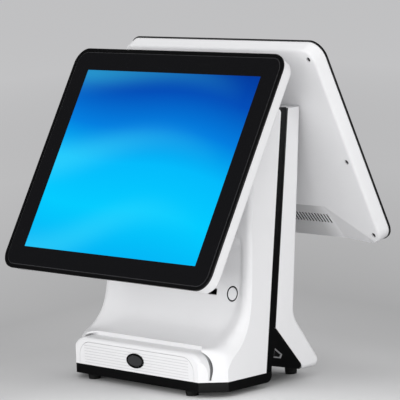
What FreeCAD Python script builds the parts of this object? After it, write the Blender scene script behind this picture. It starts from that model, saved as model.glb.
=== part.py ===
"""Dual-screen counter terminal: two flat displays tilt on one leaning neck over a black-banded base.

Millimetres, +Z up, -Y towards the operator. The origin is on the counter under the middle of the part.
Every piece is built where it sits and written as its own STEP file.
"""

import FreeCAD
import Part
import math
import os

V = FreeCAD.Vector

# ---------------------------------------------------------------- driving sizes
overall_depth = 310.4        # from the operator glass's lower edge to the customer glass's

wall = 2.5                   # moulded shells
slack = 0.3                  # between a moving piece and what it passes
seam = 0.5                   # visible parting line
pin_fit = 0.05               # radial clearance of a pin in its bore
screw_fit = 0.15             # radial clearance of a screw in its hole

# displays, each in its own frame: x across, y into the housing, z up the glass
panel_size = (318.0, 242.0)  # 15 inch 4:3 panel
operator_size = (panel_size[0] + 48.0, panel_size[1] + 42.0)
operator_tilt = 28.4
operator_centre_z = 259.0
customer_size = (panel_size[0] + 20.0, panel_size[1] + 20.0)
customer_tilt = 24.3
customer_centre_z = 275.0
frame_corner = 20.0          # radius of the black frame's corners
frame_rim = 4.5              # black rim round the glass
frame_lip = 2.4              # depth of the rim in front of the white housing
glass_thickness = 3.0
panel_thickness = 5.4
chassis_thickness = 1.2
chassis_inset = 7.0          # the steel tray stops this far inside the rim
tongue_gap = 1.2             # between the frame's tongue and the housing's wall
housing_depth = 18.5         # from the glass to the flat back
housing_draft = 1.5          # each side leans in this much
housing_edge_r = 3.5         # soft edge round the flat back
housing_step = 1.0           # the white housing stops this far inside the black rim
facet_height = 49.0          # sloping lower part of the back
facet_depth = 9.6            # depth of the back at its lower edge
facet_top_inset = 78.0       # the slope's upper edge stops this far from each side
facet_end = (11.0, 4.0)      # where its ends run out, from the side and from the bottom
vent_count = 35
vent_pitch = 5.12
vent_slot = (2.4, 13.0)
vent_slant = 6.3
vent_rise = 30.3             # slot centres above the housing's lower edge
housing_screw_inset = (12.0, 15.0)
housing_screw_r = 2.0

# base and stand
foot_height = 6.4
foot_r = 7.6
band_height = 11.3
toe_y = -105.7               # foremost face of the base
toe_half_width = 109.0
chamfer = 24.0               # cut-off front corners
chamfer_inset = 0.41         # a corner's foot moves back by this much per millimetre of inset
side_taper = 0.109           # the sides close in by this much per millimetre of depth
toe_top_z = 54.5
lip_y = -80.0
neck_top_z = 317.0
neck_edge_r = 4.5            # the white shell's upper rear edge, under the spine's cap
spine_foot_y = -16.6         # front of the black spine at the top of the band
spine_lean = 0.14
spine_thickness = 9.4
spine_edge = 14.0            # width of the spine's uprights
front_face_lean = 0.1
front_face_start = (-31.0, 240.0)
back_face_y = 36.3
back_face_z = 77.0
back_face_lean = 0.1
leg_toe = (85.3, 11.5)         # lowest rear corner, before it is rounded
leg_toe_r = 8.0
plan_overrun = 34.7          # the base's plan is drawn on this far behind the leg
leg_bottom_z = 11.5
leg_cut_top = (3.5, 66.3)    # where the black cheek starts, up the spine
leg_cut_toe = (45.0, 19.0)
cheek_thickness = 3.0
cheek_inset = 0.8
cheek_arch_z = 24.0
recess_depth = 1.8
recess_edge = 1.0
cheek_foot_r = 4.0
cable_notch = (70.0, 16.0)

# front cover, door and latch button
cover_half_width = 117.0
cover_top_z = 50.0
cover_back_y = -84.0
cover_corner = 24.0
cover_gap = 2.6              # from the cover's corners to the shell
ledge_height = 2.2           # ledge left at the foot of the gap
cover_edge_r = 5.0
door_half_width = 101.5
door_top_z = 44.5
door_corner = 18.0
door_thickness = 2.5
groove_count = 7
groove_pitch = 3.3
latch_z = 31.4
latch_ring = (15.0, 8.6)
latch_rim = 2.0
latch_travel = 1.6

# power button and front port, side by side on the scooped front
control_z = 108.0
control_y = -31.4
control_lean = 11.0
power_x = 90.0
power_r = 9.0
power_rim = 1.3
power_travel = 1.5
port_x = 56.0
port_size = (14.4, 7.0, 14.0)

# hinges: two per display, one friction knuckle each
hinge_x = 58.0
hinge_pin_r = 3.0
knuckle_r = 6.5
knuckle_width = 13.2
ear_width = 6.0
hinge_plate = 3.0
hinge_from_neck = 10.3
hinge_from_housing = 14.0
hinge_foot = (34.0, 36.0)
hinge_screw_r = 2.0

# inside the stand
mast_thickness = 2.5
mast_half_width = 95.0
mast_foot_y = -74.0
mast_window = (56.0, 45.0)   # openings that lighten the mast, two up each side
mast_window_x = 50.0
mast_window_feet = (125.0, 190.0)
mast_window_web = 6.0        # steel left between the upper ones and the hinge posts
board_size = 170.0
board_thickness = 1.6
board_gap = 6.0
board_foot_z = 86.0
plate_thickness = 4.0

# ---------------------------------------------------------------- derived values
panel_back = glass_thickness + panel_thickness
chassis_back = panel_back + chassis_thickness
band_top_z = foot_height + band_height
chamfer_back_y = toe_y + chamfer
side_half_width = toe_half_width + chamfer
big = 400.0                  # longer than anything it has to cut


def rad_sin(angle):
    return math.sin(math.radians(angle))


def rad_cos(angle):
    return math.cos(math.radians(angle))


operator_centre_y = -overall_depth / 2 + operator_size[1] / 2 * rad_sin(operator_tilt)
customer_centre_y = overall_depth / 2 - customer_size[1] / 2 * rad_sin(customer_tilt)


def spine_front(z):
    return spine_foot_y + spine_lean * (z - band_top_z)


def spine_back(z):
    return spine_front(z) + spine_thickness


def front_face(z):
    return front_face_start[0] + front_face_lean * (z - front_face_start[1])


def back_face(z):
    return back_face_y + back_face_lean * (z - back_face_z)


def half_width(y):
    return side_half_width - side_taper * (y - chamfer_back_y)


# ---------------------------------------------------------------- shape helpers
def wire_of(points):
    return Part.makePolygon(points + [points[0]])


def prism(points, direction):
    """Straight solid on a closed outline."""
    return Part.Face(wire_of(points)).extrude(direction)


def prism_x(outline, x0, x1):
    """Outline of (y, z) points drawn out along X."""
    return prism([V(x0, y, z) for y, z in outline], V(x1 - x0, 0, 0))


def prism_z(outline, z0, z1):
    return prism([V(x, y, z0) for x, y in outline], V(0, 0, z1 - z0))


def block(x0, x1, y0, y1, z0, z1):
    return Part.makeBox(x1 - x0, y1 - y0, z1 - z0, V(x0, y0, z0))


def rod(r, start, end):
    axis = end.sub(start)
    return Part.makeCylinder(r, axis.Length, start, axis)


def mirrored(shape):
    return shape.mirror(V(0, 0, 0), V(1, 0, 0))


def group(solids):
    return Part.makeCompound([s for shape in solids for s in shape.Solids])


def rounded_wire(width, height, r, y, drop=0.0):
    """Rounded rectangle facing Y, centred on the axis or lowered by drop."""
    w, h = width / 2, height / 2
    c = r * (1 - math.sqrt(0.5))
    edges = []
    for sx, sz in ((1, 1), (-1, 1), (-1, -1), (1, -1)):
        side = V(sx * w, y, sz * (h - r) - drop)
        mid = V(sx * (w - c), y, sz * (h - c) - drop)
        top = V(sx * (w - r), y, sz * h - drop)
        corner = (side, mid, top) if sx * sz > 0 else (top, mid, side)
        edges.append(Part.Arc(*corner).toShape())
    loop = []
    for i, edge in enumerate(edges):
        nxt = edges[(i + 1) % 4]
        loop.append(edge)
        loop.append(Part.makeLine(edge.Vertexes[-1].Point, nxt.Vertexes[0].Point))
    return Part.Wire(loop)


def rounded_plate(width, height, r, y0, y1):
    return Part.Face(rounded_wire(width, height, r, y0)).extrude(V(0, y1 - y0, 0))


def arch_wire(half, bottom_z, top_z, r, y):
    """Door shape: square at the bottom, rounded at the two upper corners."""
    c = r * (1 - math.sqrt(0.5))
    left_mid = V(c - half, y, top_z - c)
    right_mid = V(half - c, y, top_z - c)
    start, left = V(-half, y, bottom_z), V(-half, y, top_z - r)
    left_top, right_top = V(r - half, y, top_z), V(half - r, y, top_z)
    right, end = V(half, y, top_z - r), V(half, y, bottom_z)
    return Part.Wire([
        Part.makeLine(start, left),
        Part.Arc(left, left_mid, left_top).toShape(),
        Part.makeLine(left_top, right_top),
        Part.Arc(right_top, right_mid, right).toShape(),
        Part.makeLine(right, end),
        Part.makeLine(end, start),
    ])


def arch(half, bottom_z, top_z, r, y0, y1):
    return Part.Face(arch_wire(half, bottom_z, top_z, r, y0)).extrude(V(0, y1 - y0, 0))


def oval(a, b, z, y0, y1):
    """Elliptic rod along Y on the centre line."""
    curve = Part.Ellipse(V(a, y0, z), V(0, y0, z + b), V(0, y0, z))
    return Part.Face(Part.Wire([curve.toShape()])).extrude(V(0, y1 - y0, 0))


def beyond_plane(p, q, r, towards, inset=0.0):
    """Everything on one side of the plane through three points, the plane first moved back by inset."""
    normal = q.sub(p).cross(r.sub(p)).normalize()
    normal = normal if normal.dot(towards) > 0 else normal.negative()
    start = p.sub(normal * inset)
    return rod(big, start, start.add(normal * 60))


def smooth_sheet(poles):
    """Cubic sheet pulled through a net of control points; it never bulges past the net."""
    def knots(count):
        inner = count - 4
        return [4] + [1] * inner + [4], [float(i) for i in range(inner + 2)]
    u_mults, u_knots = knots(len(poles))
    v_mults, v_knots = knots(len(poles[0]))
    sheet = Part.BSplineSurface()
    sheet.buildFromPolesMultsKnots(poles, u_mults, v_mults, u_knots, v_knots, False, False, 3, 3)
    return sheet.toShape()


def edges_where(shape, test):
    return [e for e in shape.Edges if test(e)]


def plan_prism(inset, back_y, z0, z1):
    """The base's plan: straight front, cut corners, sides closing in towards the back."""
    cut = toe_half_width - inset * math.tan(math.radians(22.5))
    side = half_width(chamfer_back_y) - inset
    back = half_width(back_y) - inset
    right = [(cut, toe_y + inset), (side, chamfer_back_y + inset * chamfer_inset), (back, back_y)]
    left = [(-x, y) for x, y in reversed(right)]
    return prism_z(right + left, z0, z1)


# ---------------------------------------------------------------- displays
def place_display(shape, centre_y, centre_z, tilt, turned):
    """From the display's own frame to its place on the neck."""
    placed = shape.copy()
    placed.rotate(V(0, 0, 0), V(1, 0, 0), -tilt)
    if turned:
        placed.rotate(V(0, 0, 0), V(0, 0, 1), 180)
    placed.translate(V(0, centre_y, centre_z))
    return placed


def place_operator(shape):
    return place_display(shape, operator_centre_y, operator_centre_z, operator_tilt, False)


def place_customer(shape):
    return place_display(shape, customer_centre_y, customer_centre_z, customer_tilt, True)


def touch_glass(size):
    width, height = size[0] - 2 * frame_rim, size[1] - 2 * frame_rim
    glass = rounded_plate(width, height, frame_corner - frame_rim, slack, glass_thickness)
    front = edges_where(glass, lambda e: e.BoundBox.YMax < slack + 0.01)
    return glass.makeChamfer(0.5, front)


def bezel_frame(size):
    """Black rim with a ledge that the glass is bonded to."""
    lip = frame_lip + glass_thickness
    frame = rounded_plate(size[0], size[1], frame_corner, 0, frame_lip)
    inset = housing_step + wall + tongue_gap
    tongue = rounded_plate(size[0] - 2 * inset, size[1] - 2 * inset, frame_corner - inset, frame_lip, lip)
    pocket = rounded_plate(size[0] - 2 * frame_rim + seam, size[1] - 2 * frame_rim + seam,
                           frame_corner - frame_rim + seam / 2, -1, glass_thickness)
    window = rounded_plate(panel_size[0] + 1, panel_size[1] + 1, 2.0, -1, lip + 1)
    return frame.fuse(tongue).cut(pocket).cut(window).removeSplitter()


def lcd_panel():
    return rounded_plate(panel_size[0], panel_size[1], 1.5, glass_thickness, panel_back)


def hinge_boss_places(axis_up):
    """Where the leaf screws go through the housing, in the display's frame."""
    reach = hinge_foot[1] / 2 - 6.0
    return [(sx * hinge_x, axis_up + sz * reach) for sx in (-1, 1) for sz in (-1, 1)]


def display_chassis(size, axis_up):
    """Pressed steel tray behind the panel, with bosses under the hinge leaves."""
    tray = rounded_plate(size[0] - 2 * chassis_inset, size[1] - 2 * chassis_inset, 13.0, panel_back, chassis_back)
    for x in (-96.0, -32.0, 32.0, 96.0):
        window = rounded_plate(44.0, 50.0, 8.0, panel_back - 1, chassis_back + 1)
        window.translate(V(x, 0, -66.0))
        tray = tray.cut(window)
    for x, z in hinge_boss_places(axis_up):
        tray = tray.fuse(rod(6.0, V(x, panel_back, z), V(x, housing_depth - wall, z)))
    for x, z in hinge_boss_places(axis_up) + screw_places(size):
        tray = tray.cut(rod(hinge_screw_r + screw_fit, V(x, panel_back - 1, z), V(x, housing_depth, z)))
    return tray.removeSplitter().cut(facet_cutter(size, wall + slack))


def facet_cutter(size, inset):
    """What is taken off the lower back: a slope between two ends that run out to the corners."""
    half_w, low = size[0] / 2, -size[1] / 2
    deep, shallow = housing_depth - inset, facet_depth - inset
    back = V(0, 1, 0)
    cutter = beyond_plane(V(0, deep, low + facet_height), V(50, deep, low + facet_height), V(0, shallow, low), back)
    for sx in (-1, 1):
        top = V(sx * (half_w - facet_top_inset), deep, low + facet_height)
        end = V(sx * (half_w - facet_end[0]), deep, low + facet_end[1])
        foot = V(sx * (half_w - facet_top_inset + 6), shallow, low)
        cutter = cutter.common(beyond_plane(top, end, foot, back))
    return cutter


def housing_block(size, inset):
    """Drafted body of the housing: inset 0 is its outside, inset wall its hollow."""
    edge = housing_edge_r - inset
    lean = housing_step + housing_draft + inset
    sections = [(frame_lip - (inset > 0), housing_step + inset)]
    for i in range(5):
        turn = math.radians(22.5 * i)
        sections.append((housing_depth - inset - edge * (1 - math.sin(turn)), lean + edge * (1 - math.cos(turn))))
    wires = [rounded_wire(size[0] - 2 * g, size[1] - 2 * g, frame_corner - g, y) for y, g in sections]
    return Part.makeLoft(wires, True, True)


def screw_places(size):
    half_w, half_h = size[0] / 2 - housing_screw_inset[0], size[1] / 2 - housing_screw_inset[1]
    return [(sx * half_w, z) for sx in (-1, 1) for z in (half_h, -18.0, -half_h)]


def back_housing(size, axis_up):
    """White back moulding: drafted sides, flat back, sloping vented lower part."""
    outer = housing_block(size, 0).cut(facet_cutter(size, 0))
    inner = housing_block(size, wall).cut(facet_cutter(size, wall))
    shell = outer.cut(inner)
    slot_z = vent_rise - size[1] / 2
    slots = []
    for i in range(vent_count):
        slot = block(-vent_slot[0] / 2, vent_slot[0] / 2, 5, housing_depth + 2, -vent_slot[1] / 2, vent_slot[1] / 2)
        slot.rotate(V(0, 0, 0), V(0, 1, 0), vent_slant)
        slot.translate(V((i - (vent_count - 1) / 2) * vent_pitch, 0, slot_z))
        slots.append(slot)
    shell = shell.cut(Part.makeCompound(slots))
    for x, z in screw_places(size):
        post = rod(4.4, V(x, chassis_back, z), V(x, housing_depth - wall / 2, z))
        shell = shell.fuse(post.common(outer))
        shell = shell.cut(rod(3.0, V(x, housing_depth - 3.0, z), V(x, housing_depth + 3, z)))
        shell = shell.cut(rod(housing_screw_r + screw_fit, V(x, 0, z), V(x, housing_depth, z)))
    for x, z in hinge_boss_places(axis_up):
        shell = shell.cut(rod(hinge_screw_r + screw_fit, V(x, 5, z), V(x, housing_depth + 2, z)))
    return shell


def housing_screws(size):
    """Cap screws down the recessed holes of the back."""
    screws = []
    for x, z in screw_places(size):
        head = rod(2.8, V(x, housing_depth - 3.0, z), V(x, housing_depth - 1.4, z))
        shank = rod(housing_screw_r, V(x, panel_back + 0.1, z), V(x, housing_depth - 3.0, z))
        screws.append(head.fuse(shank))
    return group(screws)


def control_board(offset_x):
    """Driver board on four spacers behind the chassis."""
    y0 = chassis_back
    board = block(offset_x - 45, offset_x + 45, y0 + 1.2, y0 + 2.4, -16, 22)
    board = board.fuse(block(offset_x - 20, offset_x, y0 + 2.4, y0 + 3.4, -6, 10))
    board = board.fuse(block(offset_x + 12, offset_x + 38, y0 + 2.4, y0 + 4.0, -12, -6))
    for sx in (-1, 1):
        for z in (-12, 18):
            x = offset_x + sx * 41
            board = board.fuse(rod(2.0, V(x, y0, z), V(x, y0 + 1.2, z)))
    return board


# ---------------------------------------------------------------- hinges
def operator_axis():
    """Centre of the operator hinge, a set distance from the neck and from the housing."""
    slope = front_face_lean
    length = math.hypot(1, slope)
    ahead = hinge_from_neck / length
    depth = housing_depth + hinge_from_housing
    s, c = rad_sin(operator_tilt), rad_cos(operator_tilt)
    offset = front_face(0) - ahead - operator_centre_y
    z = (depth - c * offset - s * (operator_centre_z - ahead * slope)) / (c * slope - s)
    return front_face(z) - ahead, z + ahead * slope


def customer_axis():
    slope = back_face_lean
    length = math.hypot(1, slope)
    behind = hinge_from_neck / length
    depth = housing_depth + hinge_from_housing
    s, c = rad_sin(customer_tilt), rad_cos(customer_tilt)
    offset = customer_centre_y - back_face(0) - behind
    z = (c * offset + s * (customer_centre_z + behind * slope) - depth) / (c * slope + s)
    return back_face(z) + behind, z - behind * slope


def up_the_glass(y, z, centre_y, centre_z, tilt, sign):
    """Height of a point along a display, counted from the middle of its glass."""
    return sign * (y - centre_y) * rad_sin(tilt) + (z - centre_z) * rad_cos(tilt)


op_y, op_z = operator_axis()
cu_y, cu_z = customer_axis()
op_up = up_the_glass(op_y, op_z, operator_centre_y, operator_centre_z, operator_tilt, 1)
cu_up = up_the_glass(cu_y, cu_z, customer_centre_y, customer_centre_z, customer_tilt, -1)


def knuckle(x0, x1, foot):
    """Ear round the hinge axis at the origin, standing on a foot given as (y, z) points."""
    eye = rod(knuckle_r, V(x0, 0, 0), V(x1, 0, 0))
    return eye.fuse(prism_x(foot, x0, x1))


def hinge_leaf(distance):
    """Display side of a hinge in a frame at the axis, y away from the display."""
    half = hinge_foot[1] / 2
    ear = [(-distance, -half + 8), (0, -knuckle_r), (0, knuckle_r), (-distance, half - 8)]
    leaf = knuckle(-knuckle_width / 2, knuckle_width / 2, ear)
    plate = block(-hinge_foot[0] / 2, hinge_foot[0] / 2, -distance, hinge_plate - distance, -half, half)
    leaf = leaf.fuse(plate)
    leaf = leaf.cut(rod(hinge_pin_r + pin_fit, V(-20, 0, 0), V(20, 0, 0)))
    for sz in (-1, 1):
        z = sz * (half - 6.0)
        leaf = leaf.cut(rod(hinge_screw_r + screw_fit, V(0, -distance - 1, z), V(0, 10, z)))
        leaf = leaf.cut(rod(4.4, V(0, hinge_plate - distance, z), V(0, 10, z)))
    return leaf.removeSplitter()


def hinge_bracket(distance):
    """Neck side of a hinge: two ears on a foot plate, y towards the display."""
    half = hinge_foot[1] / 2
    ear = [(-distance, -half + 6), (0, -knuckle_r), (0, knuckle_r), (-distance, half - 6)]
    x0 = knuckle_width / 2 + slack
    bracket = block(-hinge_foot[0] / 2, hinge_foot[0] / 2, -distance, hinge_plate - distance, -half, half)
    for sx in (-1, 1):
        bracket = bracket.fuse(knuckle(*sorted((sx * x0, sx * (x0 + ear_width))), ear))
    bracket = bracket.cut(rod(hinge_pin_r + pin_fit, V(-20, 0, 0), V(20, 0, 0)))
    for sz in (-1, 1):
        z = sz * (half - 5.0)
        bracket = bracket.cut(rod(hinge_screw_r + screw_fit, V(0, -distance - 1, z), V(0, 10, z)))
    return bracket.removeSplitter()


def hinge_pin():
    """Headed pin through both ears and the knuckle."""
    reach = knuckle_width / 2 + slack + ear_width
    pin = rod(hinge_pin_r, V(-reach - 0.4, 0, 0), V(reach + 0.4, 0, 0))
    for sx in (-1, 1):
        pin = pin.fuse(rod(4.6, V(sx * (reach + 0.1), 0, 0), V(sx * (reach + 1.4), 0, 0)))
    return pin


def hinge_screw(distance, under, z):
    """Pan-head screw through a hinge foot into what is under it."""
    head = rod(3.8, V(0, hinge_plate - distance, z), V(0, hinge_plate - distance + 2.0, z))
    shank = rod(hinge_screw_r, V(0, -distance - under, z), V(0, hinge_plate - distance, z))
    return head.fuse(shank)


def both_sides(shape):
    """The same piece at the left and the right hinge."""
    pair = []
    for sx in (-1, 1):
        copy = shape.copy()
        copy.translate(V(sx * hinge_x, 0, 0))
        pair.append(copy)
    return group(pair)


def on_axis(shape, y, z, turn):
    placed = shape.copy()
    placed.rotate(V(0, 0, 0), V(1, 0, 0), turn)
    placed.translate(V(0, y, z))
    return placed


front_turn = math.degrees(math.atan(front_face_lean))
back_turn = math.degrees(math.atan(back_face_lean))


def facing_back(shape):
    """Turns a piece that faces -Y so that it faces +Y."""
    turned = shape.copy()
    turned.rotate(V(0, 0, 0), V(0, 0, 1), 180)
    return turned


# ---------------------------------------------------------------- stand shells
def ease(t):
    t = min(1.0, max(0.0, t))
    return t * t * (3 - 2 * t)


# side profiles (y, z) up the front: at the ridges and in the scoop, each with the half width where it applies
ridge_curve = [(-71.0, 59.0, 126.0), (-56.0, 73.0, 126.0), (-45.0, 92.0, 125.0), (-39.5, 128.0, 122.0),
               (-36.5, 175.0, 121.0)]
cove_curve = [(-66.0, 57.5, 84.0), (-50.0, 66.0, 88.0), (-38.0, 86.0, 97.0), (-31.0, 112.0, 105.0),
              (-27.0, 165.0, 105.0)]
scoop_columns = [0.0, 36.0, 64.0, 80.0, 90.0, 98.0, 105.0, 110.0, 114.0, 118.0, 121.0, 124.0, 127.0, 130.0, 133.0]
scoop_rows = 20
neck_rows = (10.0, 22.0, 40.0, 60.0, 85.0, 110.0)  # rows of the net up the straight neck, from its start
neck_overrun = 33.0          # the last of them lies this far above the neck
toe_edge_r = 22.0            # the toe's upper corners, seen from the front
shoulder = [(133.0, -81.7, 36.0), (119.6, -95.1, 22.0), (110.0, -91.5, 46.0)]  # slope off each toe corner
neck_side_r = 7.0            # the neck's side edges
shoulder_fade = (-72.0, -52.0)  # the slope runs out into the ridge between these
edge_share = 0.93            # how far each rounding turns before it meets the flat side


def profile(column):
    """Side profile (y, z) up the front shell, blended from the scoop to the ridge."""
    curve = [V(0, lip_y, toe_top_z)]
    for ridge, cove in zip(ridge_curve, cove_curve):
        share = ease((abs(column) - cove[2]) / (ridge[2] - cove[2]))
        y = cove[0] + share * (ridge[0] - cove[0])
        z = cove[1] + share * (ridge[1] - cove[1])
        curve.append(V(0, y, z))
    curve.append(V(0, front_face_start[0], front_face_start[1]))
    spline = Part.BSplineCurve()
    spline.interpolate(curve, InitialTangent=V(0, 1, 0), FinalTangent=V(0, front_face_lean, 1))
    toe = [V(0, y, toe_top_z) for y in (toe_y - 20, toe_y - 10, toe_y, (toe_y + lip_y) / 2)]
    start_z = front_face_start[1]
    stretch = (neck_top_z + neck_overrun - start_z) / neck_rows[-1]
    neck = [V(0, front_face(start_z + row * stretch), start_z + row * stretch) for row in neck_rows]
    return toe + spline.discretize(scoop_rows) + neck


def below_shoulder(point, inset):
    """A surface point brought down onto the slope of its toe corner, where it stands beyond it."""
    side = 1 if point.x >= 0 else -1
    p, q, r = [V(side * x, y, z) for x, y, z in shoulder]
    normal = q.sub(p).cross(r.sub(p)).normalize()
    normal = normal if normal.z > 0 else normal.negative()
    beyond = point.sub(p).dot(normal) + inset
    fade = ease((shoulder_fade[1] - point.y) / (shoulder_fade[1] - shoulder_fade[0]))
    return point.sub(normal * (max(0.0, beyond) * fade))


def scoop_points(column, inset):
    """One row of surface points: the profile moved inwards, its outer part rolled over."""
    path = profile(column)
    row = []
    for i, point in enumerate(path):
        tangent = path[min(i + 1, len(path) - 1)].sub(path[max(i - 1, 0)]).normalize()
        inwards = V(0, tangent.z, -tangent.y)
        rise = ease((point.z - toe_top_z) / 50.0)
        r = toe_edge_r + rise * (neck_side_r - toe_edge_r) - inset
        t = edge_share * min(1.0, max(0.0, (abs(column) - side_half_width + r + inset) / (r + inset)))
        roll = r * (1 - math.sqrt(1 - t * t))
        beyond = max(0.0, abs(column) - side_half_width) * edge_share * t / math.sqrt(1 - t * t)
        moved = point.add(inwards * (inset + roll + beyond))
        scale = (half_width(max(chamfer_back_y, point.y)) - inset) / side_half_width
        row.append(below_shoulder(V(column * scale, moved.y, moved.z), inset))
    return row


def scoop(inset):
    """Everything in front of and above the scooped front."""
    half = scoop_columns + [side_half_width + 4, side_half_width + 9]
    columns = [-x for x in reversed(half[1:])] + half
    return smooth_sheet([scoop_points(x, inset) for x in columns]).extrude(V(0, -300, 300))


def front_block(inset):
    """The front shell's solid, without its cover's recess; a positive inset gives its hollow."""
    over = 0.0 if inset == 0 else 1.0
    base_z, top_z = band_top_z - over, neck_top_z - inset
    body = prism_x([
        (toe_y - 5, base_z),
        (toe_y - 5, toe_top_z + 5),
        (toe_y + 25, neck_top_z / 2),
        (toe_y + 25, top_z),
        (spine_front(top_z) + over, top_z),
        (spine_front(base_z) + over, base_z),
    ], -side_half_width - 1, side_half_width + 1)
    rear_top = edges_where(body, lambda e: e.BoundBox.ZMin > top_z - 0.01
                           and e.BoundBox.YMin > spine_front(top_z) + over - 0.01)
    body = body.makeFillet(neck_edge_r - inset / 2, rear_top)
    return body.common(plan_prism(inset, 60.0, 0, big)).cut(scoop(inset))


def cover_recess(grow):
    """Open space for the front cover: close below the ledge, a gap round its corners, open over its middle."""
    front, back = toe_y - 10, cover_back_y + grow
    tight, gap = cover_half_width + slack + grow, cover_gap + grow
    close = block(-tight, tight, front, back, 0, band_top_z + ledge_height + grow + 0.1)
    corners = arch(cover_half_width + gap, band_top_z + ledge_height - grow, cover_top_z + gap,
                   cover_corner + gap, front, back)
    middle = cover_half_width - cover_corner + grow / 2
    above = prism_z([(-middle, back), (front - middle - back, front), (middle + back - front, front),
                     (middle, back)], cover_top_z - cover_corner, neck_top_z / 2)
    return close.fuse([corners, above])


def control_axis_point(x):
    return V(x, control_y, control_z)


control_normal = V(0, -rad_cos(control_lean), rad_sin(control_lean))


def along_control(x, distance):
    """Point on the axis of a control, positive outwards."""
    return control_axis_point(x).add(control_normal * distance)


def port_block(width, height, start, end):
    """Rectangular bar along the port's axis, between two distances from the surface."""
    bar = block(-width / 2, width / 2, -end, -start, -height / 2, height / 2)
    bar.rotate(V(0, 0, 0), V(1, 0, 0), -control_lean)
    bar.translate(control_axis_point(port_x))
    return bar


def hinge_drills():
    """Cylinders along the bracket screws, in a frame at the hinge axis, to drill what they pass."""
    drills = []
    for sx in (-1, 1):
        for sz in (-1, 1):
            x, z = sx * hinge_x, sz * (hinge_foot[1] / 2 - 5.0)
            drills.append(rod(hinge_screw_r + screw_fit, V(x, -hinge_from_neck - 20, z), V(x, 0, z)))
    return Part.makeCompound(drills)


def front_shell():
    body = front_block(0).cut(cover_recess(0))
    hollow = front_block(wall).cut(cover_recess(wall))
    shell = body.cut(hollow)
    shell = shell.cut(rod(power_r + screw_fit, along_control(power_x, -30), along_control(power_x, 20)))
    shell = shell.cut(port_block(port_size[0] + seam, port_size[1] + seam, -30, 20))
    return shell.cut(on_axis(facing_back(hinge_drills()), op_y, op_z, -front_turn))


def back_profile(inset):
    """Side profile of the rear shell: neck, bend and leg."""
    top_z = neck_top_z - inset
    over = 0.0 if inset == 0 else 1.0
    bottom = leg_bottom_z + inset
    return [
        (spine_back(top_z) - over, top_z),
        (back_face(top_z) - inset, top_z),
        (back_face_y - inset, back_face_z + inset * 0.25),
        (leg_toe[0] - inset * 2.0, bottom),
        (leg_cut_toe[0] + 3.0 - over * 8, bottom),
        (leg_cut_toe[0] - over * 8, leg_cut_toe[1]),
        (leg_cut_top[0] - over * 8, leg_cut_top[1]),
        (spine_back(leg_cut_top[1] + 2) - over * 8, leg_cut_top[1] + 2),
    ]


def rear_block(inset):
    body = prism_x(back_profile(inset), -big / 2, big / 2)
    toe = edges_where(body, lambda e: e.BoundBox.XLength > 150 and e.BoundBox.YMin > leg_toe[0] - 3 * wall)
    body = body.makeFillet(leg_toe_r - inset, toe)
    return body.common(plan_prism(inset, leg_toe[0] + plan_overrun, 0, big))


def rear_shell():
    """White back moulding of the neck that kicks out into the rear leg."""
    body = rear_block(0)
    bend = edges_where(body, lambda e: e.BoundBox.XLength > 150 and abs(e.BoundBox.ZMin - back_face_z) < 0.1)
    body = body.makeFillet(25.0, bend)
    corners = edges_where(body, lambda e: e.BoundBox.XLength < 20 and e.BoundBox.YMin > 30
                          and e.BoundBox.ZLength > 5 and e.BoundBox.YMax - e.BoundBox.YMin < 60
                          and e.BoundBox.YMax > leg_cut_toe[0] + 8)
    body = body.makeFillet(6.0, corners)
    shell = body.cut(rear_block(wall))
    shell = shell.cut(block(-cable_notch[0] / 2, cable_notch[0] / 2, 40, 100, 0, leg_bottom_z + cable_notch[1]))
    return shell.cut(on_axis(hinge_drills(), cu_y, cu_z, -back_turn))


def spine_frame():
    """Black frame between the two shells, capped at the top and open in the middle."""
    top = neck_top_z + 1.2
    slab = prism_x([(spine_front(band_top_z), band_top_z), (spine_front(top), top),
                    (spine_back(top), top), (spine_back(band_top_z), band_top_z)], -big / 2, big / 2)
    inset = 0.4
    body = slab.common(plan_prism(inset, 90.0, 0, big))
    hook = block(-150, 150, spine_front(neck_top_z) - 9.0, spine_front(neck_top_z) + 1, neck_top_z - 5, top)
    body = body.fuse(hook.common(plan_prism(inset, 90.0, 0, big)))
    low, high = band_top_z + 26.0, neck_top_z - spine_edge
    inner = half_width(spine_front(high)) - spine_edge
    window = prism_x([(spine_front(low) - 3, low), (spine_front(high) - 3, high),
                      (spine_back(high) + 3, high), (spine_back(low) + 3, low)], -inner, inner)
    return body.cut(window)


def leg_cheek(side):
    """Black side panel under the kicked-out leg, with its triangular recess."""
    foot_y, foot_z = leg_cut_toe[0] + 3.0 - slack, leg_bottom_z
    outline = [
        (spine_back(cheek_arch_z), cheek_arch_z),
        (spine_back(leg_cut_top[1]), leg_cut_top[1]),
        (leg_cut_top[0], leg_cut_top[1]),
        (leg_cut_toe[0], leg_cut_toe[1]),
        (foot_y, foot_z),
    ]
    body = prism_x(outline, 60, big / 2)
    foot = edges_where(body, lambda e: e.BoundBox.XLength > 50 and e.BoundBox.YMin > foot_y - 0.01)
    body = body.makeFillet(cheek_foot_r, foot)
    skin = plan_prism(cheek_inset, 100.0, 0, big).cut(plan_prism(cheek_inset + cheek_thickness, 101.0, -1, big + 1))
    body = body.common(skin)
    recess = prism_x([(1.2, 41.8), (11.2, 34.5), (9.5, 31.8), (-1.0, 34.2)], 60, big / 2)
    pocket = recess.cut(plan_prism(cheek_inset + recess_depth, 101.0, -1, big + 1))
    body = body.cut(pocket)
    rim = edges_where(body, lambda e: e.BoundBox.ZMin > 28.5 and e.BoundBox.ZMax < 47.5 and e.BoundBox.YMin > -1.5
                      and abs(e.CenterOfMass.x - half_width(e.CenterOfMass.y) + cheek_inset) < 0.05)
    body = body.makeChamfer(recess_edge, rim)
    return body if side > 0 else mirrored(body)


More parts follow.
